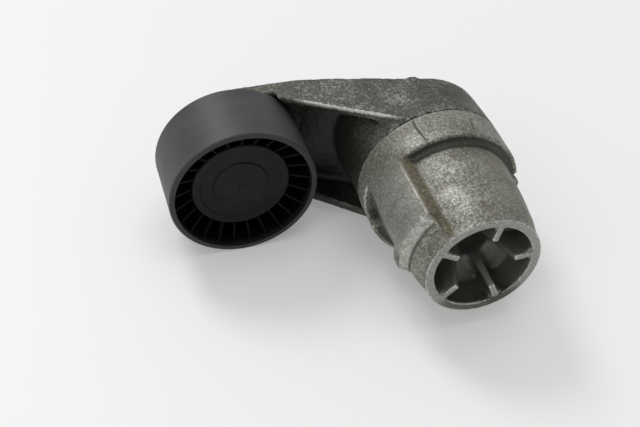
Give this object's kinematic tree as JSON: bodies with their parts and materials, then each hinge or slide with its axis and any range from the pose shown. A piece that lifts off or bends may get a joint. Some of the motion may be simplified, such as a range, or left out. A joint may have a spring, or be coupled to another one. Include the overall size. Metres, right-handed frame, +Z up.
{
  "type": "belt tensioner idler",
  "caption": "Automatic belt tensioner: a ribbed cast spring housing, a sprung swinging arm and a smooth idler pulley on a ball bearing.",
  "frame": {"origin": "centre of the machined spigot at the spring housing's open, ribbed end, on the pivot axis", "axes": "+Y along the pivot axis from the open end to the arm, +Z up when the part lies on its hub and pulley, the pulley on the -X side"},
  "size_m": [0.1755, 0.13, 0.0788],
  "materials": {
    "cast_housing": "die-cast aluminium, mottled and dirty, with a machined end ring",
    "cast_arm": "die-cast aluminium, rough and grimy",
    "pulley_nylon": "glass-filled nylon, worn satin by the belt",
    "black_plastic": "moulded black plastic",
    "steel_part": "turned steel",
    "spring_steel": "oiled spring steel",
    "bush_bronze": "sintered bronze",
    "seal_rubber": "nitrile rubber"
  },
  "bodies": {
    "housing": {"spring_housing": "cast_housing", "pivot_tube": "steel_part", "spring_guide": "black_plastic", "torsion_spring": "spring_steel", "damping_bush": "black_plastic", "thrust_washer": "black_plastic", "retaining_washer": "steel_part"},
    "arm": {"tensioner_arm": "cast_arm", "front_bush": "bush_bronze", "rear_bush": "bush_bronze", "hub_seal": "seal_rubber", "pulley_bolt": "steel_part", "bearing_spacer": "steel_part", "bearing_inner_ring": "steel_part", "rear_dust_shield": "steel_part"},
    "pulley": {"pulley": "pulley_nylon", "bearing_outer_ring": "steel_part", "front_bearing_seal": "seal_rubber", "rear_bearing_seal": "seal_rubber", "dust_cap": "black_plastic"},
    "ball_set": {"bearing_balls": "steel_part", "ball_cage": "bush_bronze"}
  },
  "joints": [
    {"name": "arm_pivot", "type": "hinge", "parent": "housing", "child": "arm", "pos_m": [0, 0.09, 0], "axis": [0, 1, 0], "range_deg": [0, 60], "stiffness_Nm_per_rad": 16, "springref_deg": -40.11, "deforming": ["torsion_spring"]},
    {"name": "pulley_spin", "type": "hinge", "parent": "arm", "child": "pulley", "pos_m": [-0.0959, 0.1045, 0], "axis": [0, 1, 0], "continuous": true},
    {"name": "cage_spin", "type": "hinge", "parent": "arm", "child": "ball_set", "pos_m": [-0.0959, 0.1045, 0], "axis": [0, 1, 0], "continuous": true}
  ],
  "couplings": [
    {"joint": "cage_spin", "follows": "pulley_spin", "ratio": 0.6184}
  ]
}
